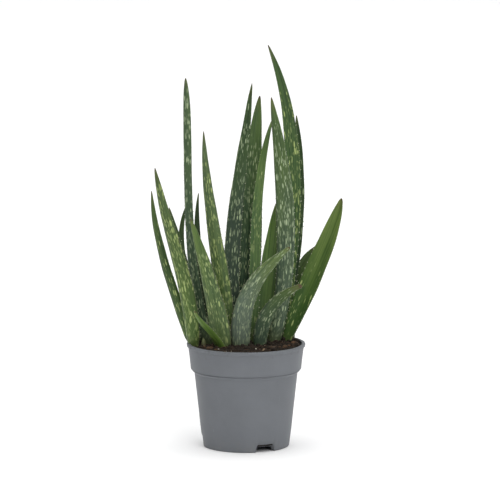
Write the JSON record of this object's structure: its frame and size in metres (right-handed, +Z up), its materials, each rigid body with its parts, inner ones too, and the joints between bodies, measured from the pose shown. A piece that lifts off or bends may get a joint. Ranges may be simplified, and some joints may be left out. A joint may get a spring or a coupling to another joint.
{
  "type": "potted aloe plant",
  "caption": "Potted spotted aloe: upright tapering fleshy leaves in rosettes, rooted in potting soil in a round tapered nursery pot with a collar and a notched foot.",
  "frame": {"origin": "on the floor under the middle of the pot's foot", "axes": "+Z up along the pot's axis, -Y is the front, the tallest leaf stands at +X"},
  "size_m": [0.1928, 0.1196, 0.4017],
  "materials": {
    "pot": "satin moulded grey plastic",
    "soil": "loose dark peat soil",
    "bark": "rough reddish bark chips",
    "perlite": "chalky white grains",
    "twig": "dry pale wood",
    "crown": "pale green fleshy stem",
    "leaf": "waxy dark green with pale flecks"
  },
  "bodies": {
    "root": {"bark_heap": "bark", "bark_left_large": "bark", "bark_left_small": "bark", "bark_right_large": "bark", "bark_right_small": "bark", "crown_left": "crown", "crown_middle": "crown", "crown_right": "crown", "leaf_back_centre": "leaf", "leaf_back_right": "leaf", "leaf_behind_tallest": "leaf", "leaf_front_curved": "leaf", "leaf_front_left_broad": "leaf", "leaf_front_left_small": "leaf", "leaf_front_right_small": "leaf", "leaf_plain_between": "leaf", "leaf_pup_back": "leaf", "leaf_pup_front": "leaf", "leaf_pup_middle": "leaf", "leaf_pup_outer": "leaf", "leaf_right_arching": "leaf", "leaf_right_short_back": "leaf", "leaf_slender_inner": "leaf", "leaf_small_left_back": "leaf", "leaf_spotted_centre_left": "leaf", "leaf_spotted_front_right": "leaf", "leaf_tall_left": "leaf", "leaf_tallest": "leaf", "leaf_upright_centre": "leaf", "leaf_upright_centre_left": "leaf", "perlite_back": "perlite", "perlite_left": "perlite", "perlite_left_front": "perlite", "perlite_right": "perlite", "pot": "pot", "soil": "soil", "twig": "twig"}
  },
  "joints": []
}
